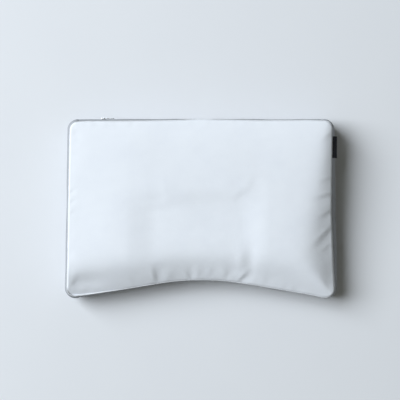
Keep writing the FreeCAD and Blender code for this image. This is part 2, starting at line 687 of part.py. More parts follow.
def make_chambers():
    """Four baffles divide the bag into side, neck, centre and rear chambers of loose fill.

    The centre chamber is filled lower than the rest, so that the head settles into it.
    """
    room = inner_solid("bag_room", BAG_INNER_GAP, CHAMBER_Z)
    space = inner_solid("fill_room", FILL_GAP, CHAMBER_Z + " + Dims.fill_slack")
    far = "Dims.front_width / 2"
    half_cloth = "Dims.bag_thickness / 2"
    apart = "(Dims.bag_thickness / 2 + Dims.fill_slack)"
    side = "Dims.centre_chamber_width / 2"
    baffles = {
        "baffle_left": (("-%s - %s" % (side, half_cloth), "-" + far),
                        ("-%s + %s" % (side, half_cloth), far)),
        "baffle_right": (("%s - %s" % (side, half_cloth), "-" + far),
                         ("%s + %s" % (side, half_cloth), far)),
        "baffle_neck": (("-%s + %s" % (side, half_cloth), "%s - %s" % (NECK_Y, half_cloth)),
                        ("%s - %s" % (side, half_cloth), "%s + %s" % (NECK_Y, half_cloth))),
        "baffle_rear": (("-%s + %s" % (side, half_cloth), "%s - %s" % (REAR_Y, half_cloth)),
                        ("%s - %s" % (side, half_cloth), "%s + %s" % (REAR_Y, half_cloth))),
    }
    for label, (low, high) in baffles.items():
        cut = block(label + "_region", (low[0], low[1], "0"), (high[0], high[1], TOP_Z))
        keep(common(label, room, cut), label)
    fills = {
        "fill_left": (("-" + far, "-" + far), ("-%s - %s" % (side, apart), far), TOP_Z),
        "fill_right": (("%s + %s" % (side, apart), "-" + far), (far, far), TOP_Z),
        "fill_neck": (("-%s + %s" % (side, apart), "-" + far),
                      ("%s - %s" % (side, apart), "%s - %s" % (NECK_Y, apart)), TOP_Z),
        "fill_centre": (("-%s + %s" % (side, apart), "%s + %s" % (NECK_Y, apart)),
                        ("%s - %s" % (side, apart), "%s - %s" % (REAR_Y, apart)),
                        "%s - %s - Dims.centre_drop" % (TOP_Z, FILL_GAP)),
        "fill_rear": (("-%s + %s" % (side, apart), "%s + %s" % (REAR_Y, apart)),
                      ("%s - %s" % (side, apart), far), TOP_Z),
    }
    for label, (low, high, ceiling) in fills.items():
        cut = block(label + "_region", (low[0], low[1], "0"), (high[0], high[1], ceiling))
        keep(common(label, space, cut), label)


def write_parts():
    """Checks every object and every sub-part before anything is written."""
    failed = [item.Label for item in DOCUMENT.Objects if {"Invalid", "Error"} & set(item.State)]
    if failed:
        raise RuntimeError("failed objects: " + ", ".join(failed))
    for node in NODES:
        if node.Shape.isNull() or not node.Shape.isValid() or len(node.Shape.Solids) != 1:
            raise RuntimeError("bad shape: " + node.Label)
    os.makedirs("parts", exist_ok=True)
    for node in NODES:
        node.Shape.exportStep("parts/%s.step" % node.Label)


fill_sheet()
make_panels()
make_side_panels(shell("side_band", band_stations("0"), band_stations("Dims.cover_thickness")))
make_tapes()
make_teeth()
make_slider()
make_pull()
make_stops()
make_labels()
make_bag()
make_chambers()
DOCUMENT.recompute()
write_parts()
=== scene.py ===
"""Looks of a contoured head pillow: a white knitted cover with a boxed side band and a zipped rear,
over an inner bag of loose fibre with two foam sheets under it."""

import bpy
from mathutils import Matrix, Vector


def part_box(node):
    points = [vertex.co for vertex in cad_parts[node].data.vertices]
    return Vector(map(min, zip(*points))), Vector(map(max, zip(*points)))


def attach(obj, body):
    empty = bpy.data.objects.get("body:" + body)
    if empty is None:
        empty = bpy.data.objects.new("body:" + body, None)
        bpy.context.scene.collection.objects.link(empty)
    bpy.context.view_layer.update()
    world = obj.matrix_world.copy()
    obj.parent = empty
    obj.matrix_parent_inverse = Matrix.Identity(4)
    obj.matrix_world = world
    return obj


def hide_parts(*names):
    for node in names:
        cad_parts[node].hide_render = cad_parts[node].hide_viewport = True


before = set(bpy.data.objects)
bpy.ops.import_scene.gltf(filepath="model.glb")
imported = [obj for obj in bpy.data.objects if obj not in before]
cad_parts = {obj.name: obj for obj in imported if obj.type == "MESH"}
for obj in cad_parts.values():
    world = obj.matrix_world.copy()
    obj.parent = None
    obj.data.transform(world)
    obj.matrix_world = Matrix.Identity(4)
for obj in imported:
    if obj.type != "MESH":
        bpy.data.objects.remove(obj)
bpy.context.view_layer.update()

# ---- Foam height sheets -------------------------------------------------------------------
# Two slabs of soft polyurethane foam, cut to the pillow's plan with a hot wire.
# They lie loose in the inner bag's lower pocket, and the user takes one out to lower the pillow.
import math

import bmesh
import bpy
import numpy as np

HALF_DEPTH, HALF_WIDTH = 0.1975, 0.300
SIDE_LEAN, FRONT_FALL = math.radians(0.9), math.radians(9.7)
ARCH_RISE, ARCH_RADIUS = 0.039, 0.540
CORNER_RADIUS, BAND_BULGE = 0.024, 0.012


def plan_outline(inset, count, corner=CORNER_RADIUS):
    """The pillow's edge seen from above, moved in by inset, as evenly spaced points with their
    outward directions and their distances along it, anticlockwise from the middle of the rear.

    Right half: the rear line, an arc round the rear corner, the leaning side line, an arc round
    the front corner, a falling straight line and half of the hollow arc. Along an arc the point
    is the arc's centre plus radius times (cos, sin) of the outward angle. The left half mirrors it."""
    radius = max(corner - inset, 0.012)
    side = np.array([math.cos(SIDE_LEAN), math.sin(SIDE_LEAN)])
    front = np.array([-math.sin(FRONT_FALL), -math.cos(FRONT_FALL)])
    rear = np.array([0.0, 1.0])
    hollow = np.array([0.0, ARCH_RISE - HALF_DEPTH - ARCH_RADIUS])
    reach_side = HALF_WIDTH * side[0] - HALF_DEPTH * side[1] - inset - radius
    reach_front = front @ hollow - (ARCH_RADIUS + inset) - radius
    reach_rear = HALF_DEPTH - inset - radius
    rear_corner = np.linalg.solve([side, rear], [reach_side, reach_rear])
    front_corner = np.linalg.solve([side, front], [reach_side, reach_front])

    turn = np.linspace(0, 1, 60)
    rear_turn = math.pi / 2 + turn * (SIDE_LEAN - math.pi / 2)
    front_angle = -math.pi / 2 - FRONT_FALL
    front_turn = SIDE_LEAN + turn * (front_angle - SIDE_LEAN)
    hollow_turn = front_angle + turn * FRONT_FALL
    ray = lambda angle: np.stack([np.cos(angle), np.sin(angle)], 1)
    points = np.vstack([
        [[0, HALF_DEPTH - inset]],
        rear_corner + radius * ray(rear_turn),
        front_corner + radius * ray(front_turn),
        hollow - (ARCH_RADIUS + inset) * ray(hollow_turn)])
    angles = np.concatenate([[math.pi / 2], rear_turn, front_turn, hollow_turn])
    points = np.vstack([points * [-1, 1], points[-2::-1]])
    angles = np.concatenate([math.pi - angles, (angles + 2 * math.pi)[-2::-1]])
    length = np.concatenate([[0], np.cumsum(np.hypot(*np.diff(points, axis=0).T))])
    along = np.arange(count) * length[-1] / count
    angle = np.interp(along, length, angles)
    placed = np.stack([np.interp(along, length, points[:, k]) for k in (0, 1)], 1)
    return placed, ray(angle), along


def mesh_piece(name, points, faces, uv=None, smooth=True):
    """A new mesh object from an (n, 3) array of points and lists of point numbers per face.
    uv gives each point's place on the cloth in metres, along and across."""
    mesh = bpy.data.meshes.new(name)
    mesh.from_pydata(np.asarray(points, float).tolist(), [], [list(map(int, f)) for f in faces])
    if uv is not None:
        layer = mesh.uv_layers.new(name="cloth")
        corner_points = np.zeros(len(mesh.loops), int)
        mesh.loops.foreach_get("vertex_index", corner_points)
        layer.data.foreach_set("uv", np.asarray(uv, np.float32)[corner_points].ravel())
    mesh.polygons.foreach_set("use_smooth", [smooth] * len(mesh.polygons))
    piece = bpy.data.objects.new(name, mesh)
    bpy.context.scene.collection.objects.link(piece)
    return piece


def thicken(piece, thickness, offset=-1.0, name="cloth"):
    """Gives a sheet its thickness: behind its points at offset -1, and half to each side at 0."""
    wall = piece.modifiers.new(name, "SOLIDIFY")
    wall.thickness, wall.offset = thickness, offset


def grid_faces(rows, columns, wrap=False, flip=False):
    """Four-cornered faces between neighbours of a rows by columns grid of points."""
    r, c = np.meshgrid(np.arange(rows - 1), np.arange(columns - (not wrap)), indexing="ij")
    n = (c + 1) % columns
    quads = np.stack([r * columns + c, r * columns + n,
                      (r + 1) * columns + n, (r + 1) * columns + c], -1).reshape(-1, 4)
    return quads[:, ::-1] if flip else quads


def ringed_body(name, rings, count=360, spokes=10):
    """A closed body of the pillow's plan. Each ring is an inset and a height, from the middle of
    the underside, round the edge, to the middle of the top; past the first and last ring the
    surface runs flat to the centre, where every point is the ring's times a share that falls to 0."""
    level = [np.column_stack([plan_outline(inset, count)[0], np.full(count, height)])
             for inset, height in rings]
    shares = np.linspace(0, 1, spokes + 1)[1:-1]
    under = [level[0] * [s, s, 1] for s in shares]
    over = [level[-1] * [s, s, 1] for s in shares[::-1]]
    stack = np.array(under + level + over)
    points = np.vstack([stack.reshape(-1, 3), [[0, 0, rings[0][1]], [0, 0, rings[-1][1]]]])
    faces = grid_faces(len(stack), count, wrap=True).tolist()
    low, high, top = len(points) - 2, len(points) - 1, (len(stack) - 1) * count
    around = np.arange(count)
    nxt = (around + 1) % count
    faces += np.stack([nxt, around, np.full(count, low)], 1).tolist()
    faces += np.stack([around + top, nxt + top, np.full(count, high)], 1).tolist()
    return mesh_piece(name, points, faces, uv=points[:, :2])


def node_tree(material):
    """The material's nodes, links and its Principled shader, with a helper that adds a node."""
    material.use_nodes = True
    tree = material.node_tree
    add = lambda kind, **inputs: dressed(tree.nodes.new(kind), inputs)
    return tree, add, tree.nodes["Principled BSDF"]


def dressed(node, inputs):
    """Sets a node's own settings (lower case) and its input values (as the node names them)."""
    for key, content in inputs.items():
        if key[0].islower():
            setattr(node, key, content)
        else:
            node.inputs[key.replace("_", " ")].default_value = content
    return node


def wire(tree, *links):
    """Links nodes: each link names a node and its output, then a node and its input."""
    for source, out, target, into in links:
        tree.links.new(source.outputs[out], target.inputs[into])


def effect_group(name, inputs, outputs):
    """An empty shader node group with named float, vector and colour sockets."""
    group = bpy.data.node_groups.new(name, "ShaderNodeTree")
    for direction, sockets in (("INPUT", inputs), ("OUTPUT", outputs)):
        for label, kind, start in sockets:
            socket = group.interface.new_socket(
                label, in_out=direction, socket_type="NodeSocket" + kind)
            if start is not None:
                socket.default_value = start
    add = lambda kind, **inputs: dressed(group.nodes.new(kind), inputs)
    return group, add, add("NodeGroupInput"), add("NodeGroupOutput")


def two_tones(add, first, second):
    """A node that mixes two colours, each given as red, green and blue."""
    tone = add("ShaderNodeMix", data_type="RGBA")
    tone.inputs[6].default_value, tone.inputs[7].default_value = (*first, 1), (*second, 1)
    return tone


def foam_material():
    """Cream foam: small round cells from a Voronoi pattern, sunk a little, over soft mottling."""
    material = bpy.data.materials.new("cut_foam")
    tree, add, shader = node_tree(material)
    place = add("ShaderNodeTexCoord")
    cells = add("ShaderNodeTexVoronoi", Scale=620.0)
    mottle = add("ShaderNodeTexNoise", Scale=35.0, Detail=3.0)
    tone = two_tones(add, (0.78, 0.72, 0.56), (0.86, 0.81, 0.66))
    bump = add("ShaderNodeBump", Strength=0.6, Distance=0.0006)
    wire(tree, (place, "Object", cells, "Vector"), (place, "Object", mottle, "Vector"),
         (mottle, "Fac", tone, 0), (tone, 2, shader, "Base Color"),
         (cells, "Distance", bump, "Height"), (bump, "Normal", shader, "Normal"))
    shader.inputs["Roughness"].default_value = 0.95
    return material


def dress(piece, material, slot, *nodes, body="cover"):
    """Puts the material on a piece, rides it on its body and hides the CAD nodes it stands for."""
    piece.data.materials.append(material)
    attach(piece, body)
    if nodes:
        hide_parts(*nodes)
    return piece


foam = foam_material()
for slab in ("height_pad_lower", "height_pad_upper"):
    low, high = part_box(slab)
    edge = HALF_WIDTH - high.x - 0.0015
    turn = np.linspace(-math.pi / 2, math.pi / 2, 7)
    rim = [(edge + 0.003 * (1 - math.cos(a)),
            (low.z + high.z) / 2 + math.sin(a) * (high.z - low.z) / 2) for a in turn]
    piece = dress(ringed_body("foam_" + slab[-5:], rim), foam, "pad_foam", slab)


# ---- Fibre filling ------------------------------------------------------------------------
# Loose hollow polyester fibre, blown into the five chambers of the inner bag.
# Each lump swells between its baffles, and the centre one is filled lower to seat the head.
def fibre_material():
    """White fibre: fine crossing strands from stretched noise, over clumps a few centimetres wide."""
    material = bpy.data.materials.new("loose_fibre")
    tree, add, shader = node_tree(material)
    place = add("ShaderNodeTexCoord")
    stretch = add("ShaderNodeMapping", Scale=(900.0, 120.0, 500.0), Rotation=(0.3, 0.5, 0.7))
    strands = add("ShaderNodeTexNoise", Scale=1.0, Detail=6.0, Distortion=1.5)
    clumps = add("ShaderNodeTexNoise", Scale=40.0, Detail=4.0)
    both = add("ShaderNodeMath", operation="MULTIPLY_ADD")
    both.inputs[1].default_value = 0.3
    bump = add("ShaderNodeBump", Strength=0.9, Distance=0.002)
    wire(tree, (place, "Object", stretch, "Vector"), (stretch, "Vector", strands, "Vector"),
         (place, "Object", clumps, "Vector"), (strands, "Fac", both, 0), (clumps, "Fac", both, 2),
         (both, 0, bump, "Height"), (bump, "Normal", shader, "Normal"))
    shader.inputs["Base Color"].default_value = (0.86, 0.87, 0.88, 1)
    shader.inputs["Roughness"].default_value = 1.0
    return material


def smoothstep(low, high, x):
    """0 below low, 1 above high, and 3t^2 - 2t^3 between, with t the share of the way."""
    t = np.clip((x - low) / (high - low), 0, 1)
    return t * t * (3 - 2 * t)


def merged_copy(node, name, join_flats=False):
    """A new object with a CAD piece's mesh, its doubled points merged and its flats joined up."""
    form = bmesh.new()
    form.from_mesh(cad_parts[node].data)
    bmesh.ops.remove_doubles(form, verts=form.verts, dist=1e-6)
    if join_flats:
        bmesh.ops.dissolve_limit(form, angle_limit=0.02, verts=form.verts, edges=form.edges)
    mesh = bpy.data.meshes.new(name)
    form.to_mesh(mesh)
    form.free()
    piece = bpy.data.objects.new(name, mesh)
    bpy.context.scene.collection.objects.link(piece)
    return piece


def vertex_data(mesh, field="co"):
    """Each vertex's place ("co") or direction ("normal") as an (n, 3) array."""
    data = np.zeros(len(mesh.vertices) * 3, np.float32)
    mesh.vertices.foreach_get(field, data)
    return data.reshape(-1, 3)


def rough_ball(p, seed, size):
    """Smooth hills at points p: a sum of sine waves in seeded directions, size metres long."""
    rng = np.random.default_rng(seed)
    total = np.zeros(len(p))
    for _ in range(14):
        way = rng.normal(size=p.shape[1])
        way *= 2 * math.pi / (size * rng.uniform(0.6, 1.7)) / np.linalg.norm(way)
        total += np.sin(p @ way + rng.uniform(0, 2 * math.pi))
    return total / 14 ** 0.5


OUTLINE, OUTWARD, ALONG = plan_outline(0.0, 3600)
AROUND = ALONG[-1] + ALONG[1]
BAND_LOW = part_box("neck_gusset")[0].z
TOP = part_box("face_panel")[1].z - 0.0006


def at_outline(along):
    """Outline points and outward directions at these distances, which may pass the end."""
    along = np.mod(along, AROUND)
    pick = lambda data: np.interp(along, np.append(ALONG, AROUND), np.append(data, data[0]))
    return (np.stack([pick(OUTLINE[:, 0]), pick(OUTLINE[:, 1])], -1),
            np.stack([pick(OUTWARD[:, 0]), pick(OUTWARD[:, 1])], -1))


def on_circle(along):
    """Distances along the outline as points of a circle of that length, so noise on it closes."""
    turn = along / AROUND * 2 * math.pi
    return np.stack([np.cos(turn), np.sin(turn)], -1).reshape(-1, 2) * AROUND / (2 * math.pi)


def along_seam(shares, levels):
    """A length that changes round the pillow: given at shares of the way round from the middle of
    the rear, joined by straight runs, and evened out over 4 cm. Returns it as a function of distance."""
    many = (np.array(shares)[None] + np.array([[-1], [0], [1]])).ravel() * AROUND
    fine = np.linspace(-0.2, AROUND + 0.2, 1200)
    level = np.interp(fine, many, np.tile(levels, 3))
    hump = np.hanning(21) / np.hanning(21).sum()
    soft = np.convolve(np.pad(level, 10, mode="edge"), hump, mode="valid")
    return lambda along: np.interp(np.mod(along, AROUND), fine, soft)


# How far the face seam lies in from the outermost line, and how high it stands: the filling lifts
# it at the rear and left, and it runs lowest along the hollow neck edge.
seam_inset = along_seam(
    [0.0, 0.025, 0.075, 0.13, 0.1485, 0.165, 0.22, 0.31, 0.345, 0.37, 0.41, 0.50, 0.585, 0.62,
     0.638, 0.655, 0.68, 0.75, 0.83, 0.855, 0.88, 0.93, 0.975],
    np.array([3.5, 6.0, 7.5, 8.0, 12.0, 10.0, 9.8, 9.5, 8.5, 6.0, 4.0, 3.2, 3.8, 3.8,
              2.5, 6.5, 9.5, 13.0, 9.5, 7.5, 5.5, 6.5, 5.0]) / 1000)
seam_height = along_seam(
    [0.0, 0.14, 0.16, 0.25, 0.32, 0.345, 0.37, 0.42, 0.50, 0.56, 0.63, 0.65, 0.68, 0.75, 0.83, 0.86],
    np.array([78, 79, 79, 79, 77, 71, 64, 60, 59, 58, 58, 59, 63, 66, 70, 75]) / 1000)
SEAM_LINE = np.linspace(0, AROUND, 2400, endpoint=False)
seam_place, seam_out = at_outline(SEAM_LINE)
seam_points = seam_place - seam_out * (seam_inset(SEAM_LINE) + 0.0003)[:, None]


def seam_distance(plan):
    """Distance from each point in plan to the seam, and which of its points is nearest. Half a
    millimetre is taken off, so that points on the seam but between two of its points get 0."""
    flat = plan.reshape(-1, 2).astype(np.float32)
    seam = seam_points.astype(np.float32)
    nearest = np.concatenate([np.argmin(((part[:, None] - seam[None]) ** 2).sum(-1), 1)
                              for part in np.array_split(flat, 1 + len(flat) // 1000)])
    away = np.maximum(np.hypot(*(flat - seam[nearest]).T) - 0.0005, 0)
    return away.reshape(plan.shape[:-1]), nearest.reshape(plan.shape[:-1])


def crown_height(plan, away, nearest):
    """Height of the smooth top before its folds. Each of the four edges gives a slope of its own:
    a start height, then a rise by 1 - (1 - d/length)^power to the top, with d the distance from
    that edge. The neck slope is longer towards the left and steeper towards the right, and the
    right one is longer and lower towards the neck. The slopes are averaged with weights
    exp(-height / 6 mm), so that the lowest one leads. The last 3 mm drop steeply to the seam as a
    quarter of an ellipse."""
    x, y = plan[..., 0], plan[..., 1]
    reach = HALF_WIDTH * math.cos(SIDE_LEAN) - HALF_DEPTH * math.sin(SIDE_LEAN)
    left = reach - 0.010 + x * math.cos(SIDE_LEAN) - y * math.sin(SIDE_LEAN)
    right = reach - 0.010 - x * math.cos(SIDE_LEAN) - y * math.sin(SIDE_LEAN)
    rear = HALF_DEPTH - 0.006 - y
    centre = ARCH_RISE - HALF_DEPTH - ARCH_RADIUS
    round_front = np.hypot(x, y - centre) - ARCH_RADIUS - 0.0035
    straight_front = (math.sin(FRONT_FALL) * np.abs(x) + math.cos(FRONT_FALL) * (y - centre)
                      - ARCH_RADIUS - 0.0035)
    front = np.where(np.abs(x) < (y - centre) * math.tan(FRONT_FALL), round_front, straight_front)
    to_left, to_right = smoothstep(0.09, 0.25, -x), smoothstep(0.02, 0.14, x)
    to_rear = smoothstep(-0.16, 0.16, y)
    total, weights = 0.0, 0.0
    for away_from, start, length, power in (
            (left, 0.0875, 0.165, 1.25),
            (right, 0.0660 + 0.0170 * to_rear, 0.118 - 0.066 * to_rear, 1.9),
            (rear, 0.0850, 0.120, 1.8),
            (front, 0.0605 - 0.0010 * to_right, 0.098 + 0.028 * to_left, 1.9 - 0.25 * to_right)):
        level = start + (TOP - start) * (1 - (1 - np.clip(away_from / length, 0, 1)) ** power)
        weight = np.exp(-(level - 0.09) / 0.006)
        total, weights = total + level * weight, weights + weight
    level = total / weights
    foot = seam_height(SEAM_LINE[nearest]) + 0.0003
    edge = np.sqrt(1 - (1 - np.clip(away / 0.003, 0, 1)) ** 2)
    return foot + (level - foot) * edge - chamber_dip(x, y) * smoothstep(0, 0.03, away)


def chamber_dip(x, y):
    """How far the top sinks over the low centre chamber: 4 mm inside, and none 16 cm to each side
    or past the neck and rear baffles, with a smoothstep across each of its four edges."""
    side_slope = smoothstep(-0.165, -0.095, x) * (1 - smoothstep(0.085, 0.148, x))
    end_slope = smoothstep(-0.160, -0.080, y) * (1 - smoothstep(-0.010, 0.050, y))
    return 0.0040 * side_slope * end_slope


def under_cover(points, gap):
    """Lowers points that stand nearer than gap to the top's smooth shape."""
    away, nearest = seam_distance(points[:, :2])
    return np.minimum(points[:, 2], crown_height(points[:, :2], away, nearest) - gap)


fibre = fibre_material()
for chamber in ("left", "right", "neck", "centre", "rear"):
    # The CAD lump, merged, remeshed at 6 mm, and pushed in by up to 3 mm in soft hills.
    lump = merged_copy("fill_" + chamber, "fibre_" + chamber)
    remesh = lump.modifiers.new("remesh", "REMESH")
    remesh.mode, remesh.voxel_size, remesh.use_smooth_shade = "VOXEL", 0.006, True
    soften = lump.modifiers.new("soften", "SMOOTH")
    soften.iterations, soften.factor = 8, 0.5
    graph = bpy.context.evaluated_depsgraph_get()
    baked = bpy.data.meshes.new_from_object(lump.evaluated_get(graph))
    lump.modifiers.clear()
    lump.data = baked
    place, normal = vertex_data(baked), vertex_data(baked, "normal")
    hills = rough_ball(place.astype(float), 5, 0.03)
    place -= normal * (0.0015 + 0.0008 * np.clip(hills, -1.8, 1.8))[:, None]
    place[:, 2] = under_cover(place, 0.0055)
    baked.vertices.foreach_set("co", place.ravel())
    baked.polygons.foreach_set("use_smooth", [True] * len(baked.polygons))
    baked.materials.clear()
    dress(lump, fibre, "fill_fibre", "fill_" + chamber)


# ---- Inner bag ----------------------------------------------------------------------------
# A bag of plain-woven cotton, sewn round the edge: a base, a wall and a face.
# A pocket sheet over the foam and four baffles, all sewn in, divide it and hold the fibre.
def weave_group():
    """Plain weave: over and under threads, the product of two sines across and along the cloth."""
    group, add, given, out = effect_group(
        "plain_weave", [("Place", "Vector", None), ("Threads per metre", "Float", 1600.0)],
        [("Height", "Float", None)])
    scaled = add("ShaderNodeVectorMath", operation="SCALE")
    parts = add("ShaderNodeSeparateXYZ")
    across, along = (add("ShaderNodeMath", operation="SINE") for _ in range(2))
    product = add("ShaderNodeMath", operation="MULTIPLY_ADD")
    product.inputs[2].default_value = 0.5
    wire(group, (given, "Place", scaled, 0), (given, "Threads per metre", scaled, "Scale"),
         (scaled, 0, parts, 0), (parts, 0, across, 0), (parts, 1, along, 0),
         (across, 0, product, 0), (along, 0, product, 1), (product, 0, out, "Height"))
    return group


def mottle_group():
    """Handling and laundering marks: broad soft noise, 0 where the cloth is fresh and 1 where dull."""
    group, add, given, out = effect_group(
        "cloth_mottle", [("Place", "Vector", None), ("Patches per metre", "Float", 14.0)],
        [("Mask", "Float", None)])
    broad = add("ShaderNodeTexNoise", Detail=4.0, Roughness=0.6)
    steep = add("ShaderNodeMapRange", interpolation_type="SMOOTHSTEP")
    steep.inputs["From Min"].default_value, steep.inputs["From Max"].default_value = 0.35, 0.75
    wire(group, (given, "Place", broad, "Vector"), (given, "Patches per metre", broad, "Scale"),
         (broad, "Fac", steep, "Value"), (steep, 0, out, "Mask"))
    return group


WEAVE, MOTTLE = weave_group(), mottle_group()


def cloth_material(name, surface, pitch, fresh, dull, relief, rough=0.9, sheen=0.15, by_uv=True):
    """A textile: a surface group's height bumps it, and the mottle mask turns fresh colour to dull.
    pitch is the surface group's repeats, in radians per metre for the weave."""
    material = bpy.data.materials.new(name)
    tree, add, shader = node_tree(material)
    place = add("ShaderNodeUVMap", uv_map="cloth") if by_uv else add("ShaderNodeTexCoord")
    out = place.outputs["UV" if by_uv else "Object"]
    threads = add("ShaderNodeGroup", node_tree=surface)
    marks = add("ShaderNodeGroup", node_tree=MOTTLE)
    threads.inputs[1].default_value = pitch
    tone = two_tones(add, fresh, dull)
    depth = add("ShaderNodeBump", Strength=0.7, Distance=relief)
    tree.links.new(out, threads.inputs["Place"])
    tree.links.new(out, marks.inputs["Place"])
    wire(tree, (marks, "Mask", tone, 0), (tone, 2, shader, "Base Color"),
         (threads, "Height", depth, "Height"), (depth, "Normal", shader, "Normal"))
    shader.inputs["Roughness"].default_value = rough
    shader.inputs["Sheen Weight"].default_value = sheen
    return material


cotton = cloth_material("bag_cotton", WEAVE, 9000.0, (0.80, 0.80, 0.78), (0.70, 0.70, 0.69), 0.0002)
bag_low, bag_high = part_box("bag_wall")
bag_base, bag_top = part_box("bag_base")[0].z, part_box("bag_face")[1].z - 0.001
bag_edge = HALF_WIDTH - bag_high.x - 0.0005
bag_rings = [(bag_edge + 0.018, bag_base), (bag_edge + 0.012, bag_base + 0.0006),
             (bag_edge + 0.004, bag_base + 0.0025), (bag_edge, bag_low.z), (bag_edge - 0.001, 0.022),
             (bag_edge - 0.0015, 0.038), (bag_edge - 0.001, 0.052), (bag_edge, bag_high.z - 0.001),
             (bag_edge + 0.004, bag_high.z + 0.008), (bag_edge + 0.011, bag_high.z + 0.015),
             (bag_edge + 0.022, bag_top - 0.0085), (bag_edge + 0.038, bag_top - 0.003),
             (bag_edge + 0.058, bag_top)]
bag = dress(ringed_body("inner_bag", bag_rings, spokes=26), cotton, "bag_cloth",
            "bag_base", "bag_wall", "bag_face")
spots = vertex_data(bag.data)
spots[:, 2] = under_cover(spots, 0.0035)
bag.data.vertices.foreach_set("co", spots.ravel())


def hung_sheet(name, start, end, low, high, slack, lean):
    """An upright sheet of cloth from start to end in plan: straight along its edges and bowed
    sideways between them by slack times sin of its height's share times a slow wave along it."""
    along, up = np.meshgrid(np.linspace(0, 1, 80), np.linspace(0, 1, 16))
    run = np.subtract(end, start)
    length = np.hypot(*run)
    bow = slack * np.sin(math.pi * up) * np.sin(math.pi * along) * np.cos(3 * math.pi * along + lean)
    x = start[0] + run[0] * along - run[1] / length * bow
    y = start[1] + run[1] * along + run[0] / length * bow
    points = np.stack([x, y, low + (high - low) * up], -1).reshape(-1, 3)
    points[:, 2] = under_cover(points, 0.006)
    flat = np.stack([along * length, up * (high - low)], -1).reshape(-1, 2)
    piece = mesh_piece(name, points, grid_faces(16, 80), uv=flat)
    thicken(piece, 0.0005)
    return piece, (high - low, length)


for baffle in ("left", "right", "neck", "rear"):
    low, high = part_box("baffle_" + baffle)
    middle = (low + high) / 2
    ends = (((middle.x, low.y + 0.008), (middle.x, high.y - 0.008)) if baffle in ("left", "right") else
            ((low.x + 0.008, middle.y), (high.x - 0.008, middle.y)))
    if baffle == "neck":
        ends = ((-0.25, -0.09), (0.25, -0.09))
    sheet, cut = hung_sheet("baffle_sheet_" + baffle, *ends, low.z, high.z - 0.012,
                            slack=0.0008, lean=len(baffle))
    dress(sheet, cotton, "bag_cloth", "baffle_" + baffle)
pocket_low, pocket_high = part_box("pad_pocket")
pocket_edge = HALF_WIDTH - pocket_high.x
pocket = dress(ringed_body("pocket_sheet", [(pocket_edge, pocket_low.z), (pocket_edge, pocket_high.z)]),
               cotton, "bag_cloth", "pad_pocket")


# ---- Base panel ---------------------------------------------------------------------------
# The cover's underside: the same white knit as the face, flat where the pillow rests
# and rolled up at the edge to the lower seam.
def knit_group():
    """Weft knit: columns of V-shaped loops. With c the share of the way across a column and r the
    height in rows, the loop's height is (1 - (2c - 1)^2) times sine of 2 pi (r + |c - 1/2|)."""
    group, add, given, out = effect_group(
        "knit_loops", [("Place", "Vector", None), ("Columns per metre", "Float", 900.0)],
        [("Height", "Float", None)])
    link = group.links.new
    math_node = lambda kind, *values: numbered(add("ShaderNodeMath", operation=kind), values)
    scaled, parts = add("ShaderNodeVectorMath", operation="SCALE"), add("ShaderNodeSeparateXYZ")
    share, centred, side = math_node("FRACT"), math_node("SUBTRACT", None, 0.5), math_node("ABSOLUTE")
    row, turn, wave = math_node("ADD"), math_node("MULTIPLY", None, 2 * math.pi), math_node("SINE")
    half, square = math_node("MULTIPLY", None, 2.0), math_node("POWER", None, 2.0)
    fall = math_node("SUBTRACT", 1.0)
    lifted, height = math_node("MULTIPLY_ADD", None, 0.25, 0.5), math_node("MULTIPLY")
    wire(group, (given, "Place", scaled, 0), (given, "Columns per metre", scaled, "Scale"),
         (scaled, 0, parts, 0))
    for before, after, port in (
            (parts, share, 0), (share, centred, 0), (centred, side, 0), (side, row, 0),
            (row, turn, 0), (turn, wave, 0), (side, half, 0), (half, square, 0),
            (square, fall, 1), (wave, lifted, 0), (lifted, height, 0), (fall, height, 1)):
        link(before.outputs[0], after.inputs[port])
    wire(group, (parts, 1, row, 1), (height, 0, out, "Height"))
    return group


def numbered(node, values):
    """Sets a node's inputs in order, leaving out those given as None."""
    for port, value in enumerate(values):
        if value is not None:
            node.inputs[port].default_value = value
    return node


KNIT = knit_group()
white_knit = cloth_material("white_knit", KNIT, 800.0, (0.85, 0.88, 0.935), (0.825, 0.855, 0.915),
                            0.00025, sheen=0.2)
base_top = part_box("base_panel")[1].z
turn = np.linspace(0, 1, 12)
base_rings = [(BAND_BULGE + 0.020 * (1 - t) ** 1.6, 0.0002 + (base_top - 0.0002) * t ** 1.8)
              for t in turn]
base_rings += [(BAND_BULGE + 0.004, base_top - 0.0016), (BAND_BULGE + 0.03, 0.0018)]
base = dress(ringed_body("base_cloth", base_rings), white_knit, "cover_knit", "base_panel")


# ---- Side band ----------------------------------------------------------------------------
# Three panels of pale grey knit, one round each end and one along the hollow neck edge.
# They are sewn to the face, the base and each other, and bulge out between the seams.
BAND_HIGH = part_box("neck_gusset")[1].z
BAND_MIDDLE, BAND_HALF = (BAND_LOW + BAND_HIGH) / 2, (BAND_HIGH - BAND_LOW) / 2
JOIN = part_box("neck_gusset")[1].x


def place_along(x, front):
    """Distance along the outline of its point with this x, on the front or the rear."""
    half = (OUTLINE[:, 1] < 0) if front else (OUTLINE[:, 1] > 0.19)
    near = np.abs(OUTLINE[:, 0] - x) + np.where(half, 0, 9)
    return ALONG[np.argmin(near)]


REAR_LEFT, FRONT_LEFT = place_along(-JOIN, False), place_along(-JOIN, True)
FRONT_RIGHT, REAR_RIGHT = place_along(JOIN, True), place_along(JOIN, False)


